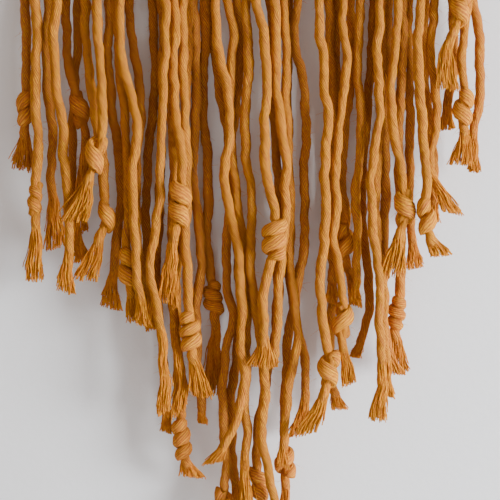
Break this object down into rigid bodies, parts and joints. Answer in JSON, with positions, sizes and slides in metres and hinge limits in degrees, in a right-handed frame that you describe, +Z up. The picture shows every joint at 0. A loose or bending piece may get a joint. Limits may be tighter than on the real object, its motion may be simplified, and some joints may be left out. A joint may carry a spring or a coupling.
{
  "type": "macrame wall hanging",
  "caption": "Wall hanging of knotted single-strand cotton cords in two overlapping rows, cut to a deep V with overhand knots and frayed tails.",
  "frame": {"origin": "middle of the hanging's top edge, midway between its two rows", "axes": "+X runs across to the right as seen from the front, -Y is the front, +Z is up; the hanging lies wholly below the origin"},
  "size_m": [0.1546, 0.0202, 0.21],
  "materials": {
    "cotton_front": "matte, loosely twisted, ochre dyed",
    "cotton_back": "matte, loosely twisted, ochre dyed, deeper shade"
  },
  "bodies": {
    "root": {"front_row": "cotton_front", "back_row": "cotton_back"}
  },
  "joints": []
}
